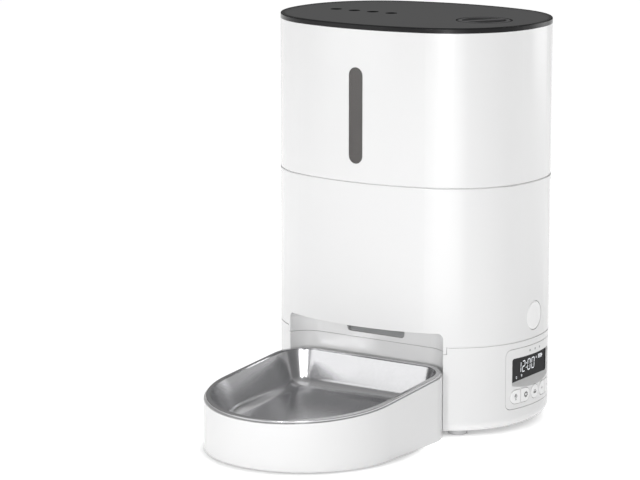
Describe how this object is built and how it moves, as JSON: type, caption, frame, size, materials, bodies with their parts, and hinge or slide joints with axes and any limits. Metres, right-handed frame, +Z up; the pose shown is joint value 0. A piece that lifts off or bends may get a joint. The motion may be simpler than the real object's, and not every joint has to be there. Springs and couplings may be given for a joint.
{
  "type": "automatic pet feeder",
  "caption": "Oval food hopper on a base with a display and keys, a lift-off lid, a motor-driven food wheel and chute, and a steel bowl in a pull-out tray.",
  "frame": {"origin": "middle of the whole footprint, on the floor", "axes": "+Z up, bowl towards -Y, control panel towards +X"},
  "size_m": [0.2156, 0.307, 0.3105],
  "materials": {
    "white_plastic": "satin white moulded plastic",
    "charcoal_plastic": "satin charcoal moulded plastic",
    "grey_plastic": "matte grey moulded plastic",
    "acetal": "natural acetal",
    "stainless_steel": "polished and lightly brushed stainless steel",
    "smoke_window": "smoke-tinted clear plastic",
    "display_glass": "glossy black lens",
    "light_pipe": "milky light guide",
    "rubber": "soft matte rubber",
    "steel": "zinc-plated steel",
    "brass": "plain brass",
    "circuit_board": "green solder mask",
    "black_plastic": "black moulded plastic"
  },
  "bodies": {
    "base": {"base_shell": "white_plastic", "rubber_feet": "rubber", "battery_case": "grey_plastic", "battery_contacts": "brass", "base_deck": "grey_plastic", "deck_screws": "steel", "gear_case": "acetal", "gear_cover": "acetal", "gear_screws": "steel", "idler_pin": "steel", "output_bush": "brass", "motor": "steel", "control_panel": "white_plastic", "display_lens": "display_glass", "display_module": "display_glass", "status_lights": "light_pipe", "key_board": "circuit_board", "key_switches": "black_plastic", "panel_screws": "steel", "main_board": "circuit_board", "board_screws": "steel", "speaker": "black_plastic", "dc_inlet": "black_plastic"},
    "battery_hatch": {"battery_door": "white_plastic"},
    "hopper": {"mid_housing": "white_plastic", "food_tank": "white_plastic", "lid_keeper": "white_plastic", "window_lens": "smoke_window", "funnel": "grey_plastic", "rotor_chamber": "grey_plastic", "chamber_screws": "steel", "outlet_chute": "grey_plastic", "portion_cover": "grey_plastic", "latch_arm": "acetal"},
    "top_lid": {"lid": "charcoal_plastic", "lid_seal": "rubber", "drying_box": "grey_plastic"},
    "drying_cover": {"drying_box_cover": "grey_plastic"},
    "lid_lock": {"lid_knob": "charcoal_plastic", "lock_arm": "grey_plastic", "lock_screw": "steel"},
    "food_wheel": {"food_rotor": "grey_plastic", "stirrer": "grey_plastic", "stirrer_screw": "steel"},
    "output_drive": {"output_gear": "acetal"},
    "idler": {"idler_gear": "acetal"},
    "motor_drive": {"motor_pinion": "acetal"},
    "release": {"release_button": "white_plastic"},
    "tray": {"bowl_tray": "white_plastic", "tray_pads": "rubber"},
    "bowl": {"steel_bowl": "stainless_steel"},
    "key_record": {"record_key": "white_plastic"},
    "key_settings": {"settings_key": "white_plastic"},
    "key_feed": {"feed_key": "white_plastic"},
    "key_plus": {"plus_key": "white_plastic"},
    "key_minus": {"minus_key": "white_plastic"}
  },
  "joints": [
    {"name": "hopper_lift", "type": "slide", "parent": "base", "child": "hopper", "axis": [0, 0, 1], "range_m": [0, 0.12]},
    {"name": "lid_lift", "type": "slide", "parent": "hopper", "child": "top_lid", "axis": [0, 0, 1], "range_m": [0, 0.08]},
    {"name": "lid_lock_turn", "type": "hinge", "parent": "top_lid", "child": "lid_lock", "pos_m": [0.0615, 0.0707, 0.3105], "axis": [0, 0, 1], "range_deg": [0, 90]},
    {"name": "drying_cover_off", "type": "slide", "parent": "top_lid", "child": "drying_cover", "axis": [0, 0, -1], "range_m": [0, 0.02]},
    {"name": "rotor_spin", "type": "hinge", "parent": "hopper", "child": "food_wheel", "pos_m": [0, 0.0807, 0.107], "axis": [0, 0, 1], "continuous": true},
    {"name": "output_spin", "type": "hinge", "parent": "base", "child": "output_drive", "pos_m": [0, 0.0807, 0.075], "axis": [0, 0, 1], "continuous": true},
    {"name": "idler_spin", "type": "hinge", "parent": "base", "child": "idler", "pos_m": [0, 0.1067, 0.07], "axis": [0, 0, 1], "continuous": true},
    {"name": "motor_spin", "type": "hinge", "parent": "base", "child": "motor_drive", "pos_m": [0, 0.1307, 0.07], "axis": [0, 0, 1], "continuous": true},
    {"name": "release_press", "type": "slide", "parent": "hopper", "child": "release", "axis": [-1, 0, 0], "range_m": [0, 0.003], "stiffness_N_per_m": 600, "deforming": ["latch_arm"]},
    {"name": "tray_slide", "type": "slide", "parent": "base", "child": "tray", "axis": [0, -1, 0], "range_m": [0, 0.12]},
    {"name": "bowl_lift", "type": "slide", "parent": "tray", "child": "bowl", "axis": [0, 0, 1], "range_m": [0, 0.022]},
    {"name": "battery_door_off", "type": "slide", "parent": "base", "child": "battery_hatch", "axis": [0, 0, -1], "range_m": [0, 0.025]},
    {"name": "record_press", "type": "slide", "parent": "base", "child": "key_record", "axis": [-0.9992, -0.0411, 0], "range_m": [0, 0.0008], "stiffness_N_per_m": 1500},
    {"name": "settings_press", "type": "slide", "parent": "base", "child": "key_settings", "axis": [-0.9992, -0.0411, 0], "range_m": [0, 0.0008], "stiffness_N_per_m": 1500},
    {"name": "feed_press", "type": "slide", "parent": "base", "child": "key_feed", "axis": [-0.9992, -0.0411, 0], "range_m": [0, 0.0008], "stiffness_N_per_m": 1500},
    {"name": "plus_press", "type": "slide", "parent": "base", "child": "key_plus", "axis": [-0.9992, -0.0411, 0], "range_m": [0, 0.0008], "stiffness_N_per_m": 1500},
    {"name": "minus_press", "type": "slide", "parent": "base", "child": "key_minus", "axis": [-0.9992, -0.0411, 0], "range_m": [0, 0.0008], "stiffness_N_per_m": 1500}
  ],
  "couplings": [
    {"joint": "output_spin", "follows": "rotor_spin", "ratio": 1},
    {"joint": "idler_spin", "follows": "rotor_spin", "ratio": -3.3333},
    {"joint": "motor_spin", "follows": "rotor_spin", "ratio": 10}
  ]
}
